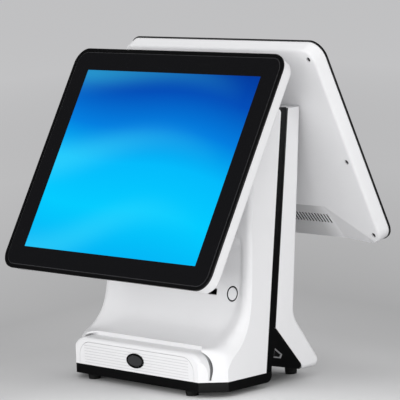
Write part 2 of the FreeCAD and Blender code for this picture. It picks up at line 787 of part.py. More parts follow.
def base_tray():
    """Black tray whose wall shows as the band round the base."""
    back_y = spine_back(band_top_z)
    body = plan_prism(0, back_y, foot_height, band_top_z)
    heel = edges_where(body, lambda e: e.BoundBox.YMin > back_y - 0.01 and e.BoundBox.ZMax < foot_height + 0.01)
    body = body.makeFillet(9.0, heel)
    hollow = plan_prism(wall, back_y - 9.0, foot_height + wall, band_top_z + 1)
    return body.cut(hollow)


foot_places = [(87.0, -96.5, foot_height), (-87.0, -96.5, foot_height),
               (79.0, 66.0, leg_bottom_z), (-79.0, 66.0, leg_bottom_z)]


def rubber_feet():
    feet = []
    for x, y, top in foot_places:
        feet.append(Part.makeCone(foot_r - 0.8, foot_r, top, V(x, y, 0), V(0, 0, 1)))
    return group(feet)


# ---------------------------------------------------------------- front cover, door and latch
def front_cover():
    """White lid of the toe, wrapped round half of each cut corner."""
    body = arch(cover_half_width, band_top_z, cover_top_z, cover_corner, toe_y - 10, cover_back_y)
    body = body.common(plan_prism(0, 0.0, 0, big))
    crest = edges_where(body, lambda e: e.BoundBox.YMax < toe_y + 0.01 and e.BoundBox.ZMin > band_top_z + 0.5)
    body = body.makeFillet(cover_edge_r, crest) if crest else body
    hollow = arch(cover_half_width - wall, 0, cover_top_z - wall - 1, cover_corner - wall,
                  toe_y - 10, cover_back_y + 1)
    hollow = hollow.common(plan_prism(wall + door_thickness, 0.0, 0, big))
    body = body.cut(hollow)
    pocket = arch(door_half_width + seam, 0, door_top_z + seam, door_corner + seam,
                  toe_y - 1, toe_y + door_thickness)
    body = body.cut(pocket)
    return body.cut(rod(3.0 + slack, V(0, toe_y - 1, latch_z), V(0, toe_y + 12, latch_z)))


def front_door():
    """Grooved plate let into the cover."""
    body = arch(door_half_width, band_top_z, door_top_z, door_corner, toe_y, toe_y + door_thickness)
    for i in range(groove_count):
        z = door_top_z - 4.0 - i * groove_pitch
        body = body.cut(block(-door_half_width + 9, door_half_width - 9, toe_y - 1, toe_y + 0.5, z - 0.4, z + 0.4))
    return body.cut(oval(latch_ring[0] + 0.1, latch_ring[1] + 0.1, latch_z, toe_y - 1, toe_y + 5))


def latch_bezel():
    """Raised black ring round the latch button."""
    y0, y1 = toe_y - 1.3, toe_y + door_thickness
    ring = oval(latch_ring[0], latch_ring[1], latch_z, y0, y1)
    front = edges_where(ring, lambda e: e.BoundBox.YMax < y0 + 0.01)
    ring = ring.makeFillet(0.6, front)
    return ring.cut(oval(latch_ring[0] - latch_rim, latch_ring[1] - latch_rim, latch_z, y0 - 1, y1 + 1))


def latch_button():
    """Oval cap on a stem with a collar behind the cover's wall."""
    a, b = latch_ring[0] - latch_rim - slack, latch_ring[1] - latch_rim - slack
    seat = toe_y + door_thickness
    cap = oval(a, b, latch_z, toe_y - 1.2, seat - latch_travel - 0.2)
    front = edges_where(cap, lambda e: e.BoundBox.YMax < toe_y - 1.19)
    cap = cap.makeFillet(0.7, front)
    stem = rod(3.0, V(0, seat - latch_travel - 0.2, latch_z), V(0, seat + 6.0, latch_z))
    collar = rod(4.6, V(0, seat + wall + slack, latch_z), V(0, seat + wall + slack + 1.2, latch_z))
    return cap.fuse(stem).fuse(collar)


# ---------------------------------------------------------------- power button and port
def power_housing():
    """Black switch barrel: its front edge is the ring round the button."""
    tube = rod(power_r, along_control(power_x, -14), along_control(power_x, 0.8))
    flange = rod(power_r + 2.2, along_control(power_x, -14), along_control(power_x, -wall - 1.5))
    bore = rod(power_r - power_rim, along_control(power_x, -12.5), along_control(power_x, 2))
    return tube.fuse(flange).cut(bore)


def power_button():
    r = power_r - power_rim - slack
    cap = rod(r, along_control(power_x, -10.5), along_control(power_x, 1.2))
    front = edges_where(cap, lambda e: e.BoundBox.ZMax > control_z + 4 and e.Length > 30
                        and e.CenterOfMass.y < control_y)
    return cap.makeFillet(1.0, front)


def front_port():
    """Metal socket shell with its contact tongue."""
    width, height, depth = port_size
    shell = port_block(width, height, -depth, 0.3)
    shell = shell.cut(port_block(width - 0.9, height - 0.9, -depth + 1, 1))
    tongue = port_block(width - 3.0, 1.9, -depth + 0.4, -1.0)
    tongue.translate(V(0, 0, 1.1))
    return shell.fuse(tongue)


def front_io_board():
    """Small board behind the switch and the port."""
    bar = block(port_x - 12, power_x + 12, 14, 14 + board_thickness, -13, 13)
    bar.rotate(V(0, 0, 0), V(1, 0, 0), -control_lean)
    bar.translate(V(0, control_y, control_z))
    return bar


# ---------------------------------------------------------------- inside the stand
def leaning_slab(offset, thickness, x0, x1, z0, z1):
    """Plate parallel to the spine, at a distance behind the mast's front."""
    y0, y1 = mast_front(z0) + offset, mast_front(z1) + offset
    return prism_x([(y0, z0), (y1, z1), (y1 + thickness, z1), (y0 + thickness, z0)], x0, x1)


def mast_front(z):
    return spine_front(z) - slack - mast_thickness


def hinge_post(x, z0, z1, face, sign):
    """Folded channel from the mast to the inside of the neck, behind one hinge bracket."""
    seat = sign * (wall + 0.1)
    fold = sign * mast_thickness
    root = mast_front(z0) + mast_thickness / 2
    outer = [(root, z0), (face(z0) - seat, z0), (face(z1) - seat, z1), (root, z1)]
    inner = [(root - 2 * fold, z0 + mast_thickness), (face(z0) - seat - fold, z0 + mast_thickness),
             (face(z1) - seat - fold, z1 - mast_thickness), (root - 2 * fold, z1 - mast_thickness)]
    half = hinge_foot[0] / 2
    return prism_x(outer, x - half, x + half).cut(prism_x(inner, x - half - 1, x + half + 1))


def neck_mast():
    """Folded steel mast: foot on the ballast plate, channels out to the four hinge brackets."""
    base_z = foot_height + wall + plate_thickness
    top_z = neck_top_z - spine_edge - 2.0
    half = mast_half_width
    mast = leaning_slab(0, mast_thickness, -half, half, base_z, top_z)
    reach = hinge_foot[1] / 2
    over_board = max(cu_z - reach, board_foot_z + board_size + slack)
    under_posts = min(op_z - reach, over_board) - mast_window_web
    for x in (-mast_window_x, mast_window_x):
        for z in mast_window_feet:
            left, right = x - mast_window[0] / 2, x + mast_window[0] / 2
            mast = mast.cut(leaning_slab(-5, 15, left, right, z, min(z + mast_window[1], under_posts)))
    foot = block(-half, half, mast_foot_y, mast_front(base_z) + 1, base_z, base_z + mast_thickness)
    mast = mast.fuse(foot)
    for sx in (-1, 1):
        mast = mast.fuse(hinge_post(sx * hinge_x, op_z - reach, min(op_z + reach, top_z), front_face, -1))
        mast = mast.fuse(hinge_post(sx * hinge_x, over_board, min(cu_z + reach, top_z), back_face, 1))
    front_drills = on_axis(facing_back(hinge_drills()), op_y, op_z, -front_turn)
    back_drills = on_axis(hinge_drills(), cu_y, cu_z, -back_turn)
    return mast.cut(front_drills).cut(back_drills).removeSplitter()


def ballast_plate():
    z0 = foot_height + wall
    return block(-100, 100, -98, -18, z0, z0 + plate_thickness)


def main_board():
    """Main board on spacers behind the mast."""
    gap = mast_thickness + board_gap
    half = board_size / 2
    board = leaning_slab(gap, board_thickness, -half, half, board_foot_z, board_foot_z + board_size)
    for x in (-half + 6, half - 6):
        for z in (board_foot_z + 6, board_foot_z + board_size - 6):
            board = board.fuse(leaning_slab(mast_thickness, board_gap, x - 3, x + 3, z - 3, z + 3))
    for i in range(2):
        x = -60.0 + i * 9
        board = board.fuse(leaning_slab(gap + board_thickness, 4, x - 2, x + 2, 130, 200))
    return board.removeSplitter()


def cpu_heatsink():
    """Finned aluminium block on the main board."""
    start = mast_thickness + board_gap + board_thickness
    sink = leaning_slab(start, 4, -5, 65, 140, 210)
    for i in range(10):
        x = -5 + i * 7.5
        sink = sink.fuse(leaning_slab(start + 4, 10, x, x + 2, 140, 210))
    return sink.removeSplitter()


def storage_drive():
    """Slim drive on the front of the mast."""
    return leaning_slab(-7.0, 7.0, -35, 35, 128, 228)


def io_panel():
    """Steel plate over the cable bay, with cut-outs for the sockets that face down."""
    z0 = board_foot_z - 8
    plate = block(-90, 90, spine_back(z0) + slack, back_face(z0) - wall - slack, z0, z0 + 1.5)
    for x, w in io_sockets:
        plate = plate.cut(block(x - w / 2 - 0.3, x + w / 2 + 0.3, io_y - 7.3, io_y + 7.3, z0 - 1, z0 + 3))
    return plate


io_y = 19.0
io_sockets = [(-72.0, 12.0), (-50.0, 15.0), (-26.0, 15.0), (2.0, 31.0), (34.0, 16.0), (64.0, 18.0)]


def io_connectors():
    """Row of sockets for power, data and the till, mouths down."""
    z0 = board_foot_z - 8 - 0.6
    sockets = []
    for x, w in io_sockets:
        body = block(x - w / 2, x + w / 2, io_y - 7, io_y + 7, z0, z0 + 16)
        mouth = block(x - w / 2 + 1, x + w / 2 - 1, io_y - 5.5, io_y + 5.5, z0 - 1, z0 + 3.6)
        sockets.append(body.cut(mouth))
    return group(sockets)


def power_board():
    """Voltage board on the ballast plate, in the toe of the base."""
    z0 = foot_height + wall + plate_thickness + mast_thickness
    board = block(-90, 0, -72, -50, z0 + 4, z0 + 5.6)
    for x in (-86, -4):
        for y in (-68, -54):
            board = board.fuse(rod(2.5, V(x, y, z0), V(x, y, z0 + 4)))
    board = board.fuse(block(-70, -48, -69, -53, z0 + 5.6, z0 + 18))
    board = board.fuse(rod(5.0, V(-30, -61, z0 + 5.6), V(-30, -61, z0 + 20)))
    return board.fuse(rod(5.0, V(-16, -61, z0 + 5.6), V(-16, -61, z0 + 20)))


def speaker():
    z0 = foot_height + wall + plate_thickness + mast_thickness
    body = block(30, 80, -72, -48, z0, z0 + 14)
    return body.cut(rod(9.0, V(55, -60, z0 + 11), V(55, -60, z0 + 20)))


# ---------------------------------------------------------------- all nodes
def display_nodes(name, size, axis_up, place):
    leaf_distance = hinge_from_housing
    leaf = hinge_leaf(leaf_distance)
    depth = housing_depth + leaf_distance
    screws = group([hinge_screw(leaf_distance, wall + 5.0, sz * (hinge_foot[1] / 2 - 6.0)) for sz in (-1, 1)])

    def at_hinge(shape):
        moved = both_sides(shape)
        moved.translate(V(0, depth, axis_up))
        return place(moved)

    return {
        name + "_touch_glass": place(touch_glass(size)),
        name + "_bezel_frame": place(bezel_frame(size)),
        name + "_lcd_panel": place(lcd_panel()),
        name + "_chassis": place(display_chassis(size, axis_up)),
        name + "_back_housing": place(back_housing(size, axis_up)),
        name + "_housing_screws": place(housing_screws(size)),
        name + "_control_board": place(control_board(0.0)),
        name + "_hinge_leaves": at_hinge(leaf),
        name + "_leaf_screws": at_hinge(screws),
    }


def bracket_nodes(name, y, z, turn, front):
    bracket = hinge_bracket(hinge_from_neck)
    screws = group([hinge_screw(hinge_from_neck, wall + 3.0, sz * (hinge_foot[1] / 2 - 5.0)) for sz in (-1, 1)])

    def at_neck(shape):
        turned = facing_back(shape) if front else shape
        return on_axis(both_sides(turned), y, z, turn)

    return {
        name + "_hinge_brackets": at_neck(bracket),
        name + "_bracket_screws": at_neck(screws),
        name + "_hinge_pins": at_neck(hinge_pin()),
    }


def build():
    nodes = {
        "base_tray": base_tray(),
        "rubber_feet": rubber_feet(),
        "ballast_plate": ballast_plate(),
        "front_shell": front_shell(),
        "spine_frame": spine_frame().cut(front_block(0)),
        "rear_shell": rear_shell(),
        "leg_cheek_right": leg_cheek(1),
        "leg_cheek_left": leg_cheek(-1),
        "front_cover": front_cover(),
        "front_door": front_door(),
        "latch_bezel": latch_bezel(),
        "latch_button": latch_button(),
        "power_switch_housing": power_housing(),
        "power_button": power_button(),
        "front_port": front_port(),
        "front_io_board": front_io_board(),
        "neck_mast": neck_mast(),
        "main_board": main_board(),
        "cpu_heatsink": cpu_heatsink(),
        "storage_drive": storage_drive(),
        "io_panel": io_panel(),
        "io_connectors": io_connectors(),
        "power_board": power_board(),
        "speaker": speaker(),
    }
    nodes.update(display_nodes("operator", operator_size, op_up, place_operator))
    nodes.update(display_nodes("customer", customer_size, cu_up, place_customer))
    nodes.update(bracket_nodes("operator", op_y, op_z, -front_turn, True))
    nodes.update(bracket_nodes("customer", cu_y, cu_z, -back_turn, False))
    return nodes


os.makedirs("parts", exist_ok=True)
for node, shape in build().items():
    shape.exportStep("parts/" + node + ".step")
    print(node, "valid" if shape.isValid() else "INVALID", len(shape.Solids), round(shape.Volume / 1000, 2))
print("operator hinge", round(op_y, 2), round(op_z, 2), "customer hinge", round(cu_y, 2), round(cu_z, 2))
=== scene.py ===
# A counter terminal with two tilting screens, dressed from the ground up:
# base, neck, controls, hinges, screens.
import math

import bmesh
import bpy
from mathutils import Matrix, Vector


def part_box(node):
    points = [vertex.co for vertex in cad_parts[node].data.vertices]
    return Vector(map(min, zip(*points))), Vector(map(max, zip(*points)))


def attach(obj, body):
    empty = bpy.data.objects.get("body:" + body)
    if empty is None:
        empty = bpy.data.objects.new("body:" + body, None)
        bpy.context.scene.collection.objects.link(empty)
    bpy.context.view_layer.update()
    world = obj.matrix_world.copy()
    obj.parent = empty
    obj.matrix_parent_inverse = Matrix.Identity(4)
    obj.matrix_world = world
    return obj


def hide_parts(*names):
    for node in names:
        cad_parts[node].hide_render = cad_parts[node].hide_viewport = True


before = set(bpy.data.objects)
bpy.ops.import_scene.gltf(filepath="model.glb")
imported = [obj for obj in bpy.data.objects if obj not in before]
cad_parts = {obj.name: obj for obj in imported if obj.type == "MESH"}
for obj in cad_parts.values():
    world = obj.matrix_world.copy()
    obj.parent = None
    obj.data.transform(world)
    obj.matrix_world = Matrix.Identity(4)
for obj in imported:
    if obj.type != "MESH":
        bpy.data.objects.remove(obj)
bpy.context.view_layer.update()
bpy.ops.object.select_all(action="DESELECT")


# --- Base tray ------------------------------------------------------------------------------------
# The black band under the base is an injection-moulded ABS tray with a fine spark-eroded grain.
# The metalwork, the front shell and the neck all screw down into it.

class Signal:
    """A socket in a material, with arithmetic, so that a pattern is written as a sum."""

    def __init__(self, finish, socket):
        self.finish = finish
        self.socket = socket

    def worked(self, operation, first, second):
        return self.finish.math(operation, first, second)

    def __add__(self, other):
        return self.worked("ADD", self, other)

    def __radd__(self, other):
        return self.worked("ADD", other, self)

    def __sub__(self, other):
        return self.worked("SUBTRACT", self, other)

    def __rsub__(self, other):
        return self.worked("SUBTRACT", other, self)

    def __mul__(self, other):
        return self.worked("MULTIPLY", self, other)

    def __rmul__(self, other):
        return self.worked("MULTIPLY", other, self)

    def __lt__(self, other):
        return self.worked("LESS_THAN", self, other)

    def __gt__(self, other):
        return self.worked("GREATER_THAN", self, other)


class Finish:
    """A material: constants on its shader, and whatever varies over the surface as nodes."""

    def __init__(self, name, color, roughness, **constants):
        self.material = bpy.data.materials.new(name)
        self.material.use_nodes = True
        self.tree = self.material.node_tree
        self.shader = self.tree.nodes["Principled BSDF"]
        self.shader.inputs["Base Color"].default_value = (*color, 1)
        self.shader.inputs["Roughness"].default_value = roughness
        for socket, value in constants.items():
            self.shader.inputs[socket.replace("_", " ")].default_value = value
        self.place = self.add("TexCoord", {}, {}, "Object")
        self.tone = (*color, 1)

    def add(self, kind, settings, inputs, output=0):
        node = self.tree.nodes.new("ShaderNode" + kind)
        for name, value in settings.items():
            if name == "stops":
                ramp = node.color_ramp
                ramp.elements.remove(ramp.elements[1])
                ramp.elements[0].position, ramp.elements[0].color = value[0]
                for position, color in value[1:]:
                    ramp.elements.new(position).color = color
            else:
                setattr(node, name, value)
        for name, value in inputs.items():
            if isinstance(value, Signal):
                self.tree.links.new(value.socket, node.inputs[name])
            else:
                node.inputs[name].default_value = value
        return Signal(self, node.outputs[output])

    def mix(self, share, first, second):
        return self.add("Mix", {"data_type": "RGBA"}, {0: share, 6: first, 7: second}, 2)

    def math(self, operation, first, second=0.0):
        return self.add("Math", {"operation": operation}, {0: first, 1: second})

    def axes(self, turn=0.0, origin=Vector()):
        """Distances along X, Y and Z from a point, in a frame turned about X."""
        start = -(Matrix.Rotation(turn, 3, "X") @ origin)
        moved = self.add("Mapping", {}, {"Vector": self.place, "Rotation": (turn, 0, 0), "Location": start})
        parts = self.add("SeparateXYZ", {}, {"Vector": moved}).socket.node.outputs
        return [Signal(self, part) for part in parts]

    def outside(self, across, up, half, corner):
        """Distance outside a rectangle whose corners are rounded; negative inside it."""
        over_x = self.math("MAXIMUM", self.math("ABSOLUTE", across) - (half[0] - corner), 0.0)
        over_z = self.math("MAXIMUM", self.math("ABSOLUTE", up) - (half[1] - corner), 0.0)
        return self.math("SQRT", over_x * over_x + over_z * over_z) - corner

    def tint(self, share, color):
        """Lays a colour over the one so far, as far as share says."""
        self.tone = self.mix(share, self.tone, (*color, 1))
        self.drive("Base Color", self.tone)

    def drive(self, socket, signal):
        self.tree.links.new(signal.socket, self.shader.inputs[socket])

    def emboss(self, height, depth):
        self.drive("Normal", self.add("Bump", {}, {"Distance": depth, "Height": height}))


def moulded(name, color, roughness, grain, depth, **constants):
    """Moulded plastic: a slight cloudiness in colour and gloss, and the tool's grain."""
    finish = Finish(name, color, roughness, **constants)
    cloud = finish.add("TexNoise", {}, {"Vector": finish.place, "Scale": 14.0, "Detail": 3.0})
    fine = finish.add("TexNoise", {}, {"Vector": finish.place, "Scale": grain, "Detail": 2.0})
    darker = [0.955 * part for part in color]
    finish.tint(cloud, darker)
    finish.drive("Roughness", roughness - 0.05 + 0.06 * cloud + 0.04 * fine)
    finish.emboss(fine, depth)
    return finish


def dress(node, body, finish, angle=32):
    """Puts a welded, smoothly shaded copy of a solid in its place."""
    piece = bpy.data.objects.new(node + "_skin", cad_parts[node].data.copy())
    bpy.context.scene.collection.objects.link(piece)
    bpy.ops.object.select_all(action="DESELECT")
    bpy.context.view_layer.objects.active = piece
    piece.select_set(True)
    bpy.ops.object.mode_set(mode="EDIT")
    bpy.ops.mesh.select_all(action="SELECT")
    bpy.ops.mesh.remove_doubles(threshold=0.00001)
    bpy.ops.mesh.customdata_custom_splitnormals_clear()
    bpy.ops.object.mode_set(mode="OBJECT")
    bpy.ops.object.shade_smooth_by_angle(angle=math.radians(angle))
    piece.data.materials.clear()
    piece.data.materials.append(finish.material)
    piece.select_set(False)
    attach(piece, body)
    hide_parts(node)
    return piece


jet = (0.003, 0.003, 0.0034)
black_plastic = moulded("black_abs", jet, 0.34, 2600.0, 0.00003)
dress("base_tray", "stand", black_plastic)


# --- Rubber feet ----------------------------------------------------------------------------------
# Four round feet of soft black rubber with a dull, slightly rough skin.
# They are pressed into sockets under the tray and the leg.

rubber = moulded("foot_rubber", (0.012, 0.012, 0.012), 0.78, 900.0, 0.0001)
dress("rubber_feet", "stand", rubber)


# --- Metalwork ------------------------------------------------------------------------------------
# The ballast plate lies in the tray, and the mast is bent from zinc-plated sheet and bolts down to it.
# The mast carries both screens inside the plastic neck; the socket plate closes the neck above the cable bay.

def rolled(name, color, roughness, lines):
    """Rolled or brushed metal: fine lines along X, with gloss that wanders along them."""
    finish = Finish(name, color, roughness, Metallic=1.0)
    along = finish.add("Mapping", {}, {"Vector": finish.place, "Scale": (0.04, 1.0, 1.0)})
    line = finish.add("TexNoise", {}, {"Vector": along, "Scale": lines, "Detail": 4.0})
    spangle = finish.add("TexNoise", {}, {"Vector": finish.place, "Scale": 60.0, "Detail": 2.0})
    darker = [0.86 * part for part in color]
    finish.tint(spangle, darker)
    finish.drive("Roughness", roughness - 0.08 + 0.16 * line)
    finish.emboss(line, 0.00002)
    return finish


zinc_steel = rolled("zinc_plated_sheet", (0.60, 0.61, 0.62), 0.38, 900.0)
for node in ("ballast_plate", "neck_mast", "io_panel"):
    dress(node, "stand", zinc_steel)


# --- Boards and sockets ---------------------------------------------------------------------------
# Fibreglass boards under green solder mask. The main board stands on spacers on the mast, with its finned
# heat sink and a small drive; the sockets point down. The front socket is plated steel with a black tongue.

tracks_per_metre, track_share = 260.0, 0.09


def board_mask(name):
    """Green solder mask: copper tracks show through it, paler and slightly raised."""
    finish = Finish(name, (0.012, 0.13, 0.05), 0.3, Coat_Weight=0.4)
    route = finish.add("TexVoronoi", {"feature": "DISTANCE_TO_EDGE"},
                       {"Vector": finish.place, "Scale": tracks_per_metre, "Randomness": 0.75})
    track = route < track_share
    cloud = finish.add("TexNoise", {}, {"Vector": finish.place, "Scale": 120.0})
    mask = finish.mix(cloud, (0.008, 0.10, 0.04, 1), (0.016, 0.15, 0.06, 1))
    finish.drive("Base Color", finish.mix(track, mask, (0.03, 0.24, 0.08, 1)))
    finish.drive("Roughness", 0.34 - 0.1 * track)
    finish.emboss(track, 0.00004)
    return finish


board_green = board_mask("green_solder_mask")
for node in ("front_io_board", "main_board", "power_board"):
    dress(node, "stand", board_green)
aluminium = rolled("extruded_aluminium", (0.70, 0.71, 0.72), 0.34, 1400.0)
dress("cpu_heatsink", "stand", aluminium)
drive_case = rolled("drive_case", (0.35, 0.36, 0.38), 0.42, 700.0)
dress("storage_drive", "stand", drive_case)
nickel = rolled("nickel_plate", (0.68, 0.67, 0.65), 0.24, 1600.0)
dress("io_connectors", "stand", nickel)
port_nickel = rolled("port_nickel", (0.50, 0.50, 0.49), 0.3, 1600.0)
port_turn = math.radians(11.0)
port_rim = 0.0012
port_low, port_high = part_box("front_port")
depth = port_nickel.axes(port_turn, (port_low + port_high) / 2)[1]
# Everything deeper than the rim is painted near black: the socket's black tongue, and painted shade inside
# it.
port_nickel.tint(depth > (port_low.y - port_high.y) / 2 + port_rim, (0.02, 0.02, 0.02))
dress("front_port", "stand", port_nickel)
dress("speaker", "stand", black_plastic)


# --- Spine frame and leg cheeks -------------------------------------------------------------------
# A black ABS frame stands between the two white halves of the neck and shows as a dark stripe up each side.
# Two black cheeks fill the sides of the rear leg, each with a sunken triangle whose rim is painted paler as a
# highlight.

def matt_black():
    return moulded("matt_black_abs", jet, 0.45, 2600.0, 0.00003, Specular_IOR_Level=0.2)


dress("spine_frame", "stand", matt_black())
cheek_black = matt_black()
depth, rise = cheek_black.axes()[1:]
recess_corners = [(0.0012, 0.0418), (0.0112, 0.0345), (0.0095, 0.0318), (-0.0010, 0.0342)]
highlight_inside, highlight_outside = 0.0002, 0.0012
# The distance outside the recess is the greatest of the distances beyond its four sides.
from_edge = None
for (y0, z0), (y1, z1) in zip(recess_corners, recess_corners[1:] + recess_corners[:1]):
    length = math.hypot(y1 - y0, z1 - z0)
    from_side = (depth - y0) * ((z0 - z1) / length) + (rise - z0) * ((y1 - y0) / length)
    from_edge = from_side if from_edge is None else cheek_black.math("MAXIMUM", from_edge, from_side)
# Painted highlight: a paler band along the recess's rim.
cheek_black.tint((from_edge < highlight_outside) * (from_edge > -highlight_inside), (0.20, 0.20, 0.205))
for node in ("leg_cheek_right", "leg_cheek_left"):
    dress(node, "stand", cheek_black)


# --- White shells ---------------------------------------------------------------------------------
# The front shell is one moulding of satin white ABS: toe, scooped front and front half of the neck.
# The rear shell, of the same plastic, is the back of the neck running down into the kicked-out leg.
# A black seal lies along its front edge, against the spine frame.

white_abs = ("white_abs", (0.84, 0.84, 0.848), 0.36, 2400.0, 0.000015)
dress("front_shell", "stand", moulded(*white_abs), 24)
# The spine's back face moves back by its lean per metre of height, from a foot in front of the middle.
spine_lean, spine_foot = 0.14, 0.00968
seal_width = 0.0026
edged_white = moulded(*white_abs)
depth, rise = edged_white.axes()[1:]
spine_back = rise * spine_lean - spine_foot
edged_white.tint(depth - spine_back < seal_width, jet)
dress("rear_shell", "stand", edged_white, 24)


# --- Front cover and oval button ------------------------------------------------------------------
# A separate white cover wraps the toe, with a grooved plate let into it; its gaps and grooves are painted
# grey as shade.
# The oval button in the plate is dark grey with fine ribs, in a gloss black ring.

# The cover's rounded outline, the stretch of its edge that is painted with shade on the way out, and the
# front of the gap there.
cover_corner, cover_edge = 0.024, 0.0004
shade_from, shade_full = 0.100, 0.113
gap_front_y, gap_front_z, gap_lean = -0.0955, 0.022, 0.154
cover_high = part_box("front_cover")[1]
cover_white = moulded(*white_abs)
across, depth, rise = cover_white.axes()
from_outline = cover_white.outside(across, rise, (cover_high.x, cover_high.z), cover_corner)
shade_range = {"Value": cover_white.math("ABSOLUTE", across), 1: shade_from, 2: shade_full}
down_the_side = cover_white.add("MapRange", {}, shade_range)
in_the_gap = depth > gap_front_y + (rise - gap_front_z) * gap_lean
# Painted shade: the cover's edge turns grey where it runs back into the gap at its sides.
shaded = (from_outline > -cover_edge) * down_the_side * in_the_gap * 0.9
cover_white.tint(shaded, (0.16, 0.16, 0.165))
dress("front_cover", "stand", cover_white, 28)
groove_depth = 0.0003
door_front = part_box("front_door")[0].y
door_white = moulded(*white_abs)
depth = door_white.axes()[1]
# Painted shade: the floors of the grooves are tinted grey.
door_white.tint((depth > door_front + groove_depth) * 0.35, (0.40, 0.40, 0.41))
dress("front_door", "stand", door_white, 28)
gloss_black = moulded("gloss_black_abs", jet, 0.12, 1200.0, 0.00001)
dress("latch_bezel", "stand", gloss_black)
rib_pitch = 0.0013
button_grey = moulded("dark_grey_abs", (0.030, 0.030, 0.032), 0.3, 1800.0, 0.00003)
rise = button_grey.axes()[2]
rib = button_grey.math("SINE", rise * (2 * math.pi / rib_pitch))
button_grey.tint(rib * 0.5 + 0.5, (0.052, 0.052, 0.055))
button_grey.emboss(rib, 0.00005)
dress("latch_button", "latch_button", button_grey)


# --- Power button ---------------------------------------------------------------------------------
# A round white button of smooth plastic, sprung, in the thin black ring of its switch.
# The switch's barrel is clamped behind the front shell.

dress("power_switch_housing", "stand", gloss_black)
white_gloss = moulded("white_gloss_abs", (0.84, 0.84, 0.85), 0.16, 800.0, 0.000005)
dress("power_button", "power_button", white_gloss)


# --- Tilt hinges ----------------------------------------------------------------------------------
# Two friction hinges carry each screen: black painted steel brackets on the neck and leaves on the housing,
# a turned steel pin through both, and plated screws.

def painted(name, color, roughness):
    """Painted steel: orange-peel bump, with duller patches."""
    finish = Finish(name, color, roughness)
    peel = finish.add("TexNoise", {}, {"Vector": finish.place, "Scale": 700.0, "Detail": 1.0})
    dull = finish.add("TexNoise", {}, {"Vector": finish.place, "Scale": 90.0, "Detail": 3.0})
    finish.tint(dull, [1.5 * part for part in color])
    finish.drive("Roughness", roughness - 0.06 + 0.14 * dull)
    finish.emboss(peel, 0.00004)
    return finish


hinge_paint = painted("black_painted_steel", (0.03, 0.03, 0.033), 0.42)
pin_steel = rolled("turned_steel", (0.55, 0.55, 0.56), 0.25, 1800.0)
plated_screw = rolled("plated_screw", (0.62, 0.62, 0.63), 0.3, 1500.0)
for side in ("operator", "customer"):
    dress(side + "_hinge_brackets", "stand", hinge_paint)
    dress(side + "_bracket_screws", "stand", plated_screw)
    dress(side + "_hinge_pins", "stand", pin_steel)
    dress(side + "_hinge_leaves", side + "_display", hinge_paint)
    dress(side + "_leaf_screws", side + "_display", plated_screw)


# --- Insides of the screens -----------------------------------------------------------------------
# Behind each glass lie a black-framed liquid crystal panel and a driver board.
# Both are fixed to a pressed steel chassis, painted black, that is screwed into the back housing.

panel_black = moulded("panel_black", (0.01, 0.01, 0.012), 0.3, 600.0, 0.00001)
for side in ("operator", "customer"):
    dress(side + "_lcd_panel", side + "_display", panel_black)
    dress(side + "_chassis", side + "_display", hinge_paint)
    dress(side + "_control_board", side + "_display", board_green)


# --- Frames and back housings ---------------------------------------------------------------------
# Each screen has a black frame round the glass and a white back housing, screwed to it from behind.
# Slots in the housing's sloping foot let warm air out. The screws are black oxide, deep in their holes.

# Half the glass, from which depths are measured; the housing's flat and sloping foot; its row of vents.
glass_middle = 0.00165
housing_depth, facet_depth, facet_height = 0.0185, 0.0096, 0.049
vent_rise, vent_half_width, vent_half_height = 0.0303, 0.0915, 0.0080
# The painted shade on the slope fades out at its two ends; how near the skin it lies, and how deep the slots'
# painted black starts.
slope_shade_end, slope_shade_full = 0.075, 0.100
slope_shade_reach, slot_shade_depth = 0.00015, 0.0004
# The rounded border of a housing, which stays smooth, and what counts as a fold.
rounded_foot, rounded_side = 0.004, 0.009
fold_reach, least_fold = 0.001, math.radians(5)
lean = {"operator": math.radians(28.4), "customer": math.radians(-24.3)}
facing = {"operator": 1, "customer": -1}
half_frame = {"operator": (0.183, 0.142), "customer": (0.169, 0.131)}


def vented_white(side):
    """White plastic, with painted shade: grey on the slope round the vents and black inside the vent slots.
    """
    finish = moulded(*white_abs)
    half_width, half_height = half_frame[side]
    across, inwards, rise = finish.axes(lean[side], glass_centre[side])
    above_foot = rise + half_height
    skin = above_foot * ((housing_depth - facet_depth) / facet_height) + (facet_depth - glass_middle)
    in_row = finish.math("ABSOLUTE", across) < vent_half_width
    in_height = finish.math("ABSOLUTE", above_foot - vent_rise) < vent_half_height
    below_skin = skin - inwards * facing[side]
    ends = {"Value": finish.math("ABSOLUTE", across), 1: half_width - slope_shade_end, 2: half_width - slope_shade_full}
    slope_shade = finish.add("MapRange", {}, ends)
    # Painted shade: the sloping foot is tinted grey, fading out towards its ends.
    finish.tint((finish.math("ABSOLUTE", below_skin) < slope_shade_reach) * slope_shade, (0.56, 0.56, 0.565))
    # Painted shade: the vent slots are black below the skin.
    finish.tint((below_skin > slot_shade_depth) * in_row * in_height, (0.003, 0.003, 0.003))
    return finish


def crease(piece, side):
    """Keeps the shallow folds round a housing's sloping foot crisp."""
    turned = Matrix.Rotation(lean[side], 3, "X")
    shape = bmesh.new()
    shape.from_mesh(piece.data)
    half_width, half_height = half_frame[side]
    for edge in shape.edges:
        middle = turned @ ((edge.verts[0].co + edge.verts[1].co) / 2 - glass_centre[side])
        by_foot = rounded_foot < middle.z + half_height < facet_height + fold_reach
        by_middle = abs(middle.x) < half_width - rounded_side
        if by_foot and by_middle and edge.calc_face_angle(0.0) > least_fold:
            edge.smooth = False
    shape.to_mesh(piece.data)
    shape.free()


dark_screw = painted("black_oxide", (0.02, 0.02, 0.022), 0.4)
frame_black = moulded("black_frame", jet, 0.3, 2600.0, 0.00002)
glass_centre = {}
for side in ("operator", "customer"):
    low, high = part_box(side + "_touch_glass")
    glass_centre[side] = (low + high) / 2
    vented = vented_white(side)
    dress(side + "_bezel_frame", side + "_display", frame_black)
    crease(dress(side + "_back_housing", side + "_display", vented, 28), side)
    dress(side + "_housing_screws", side + "_display", dark_screw)


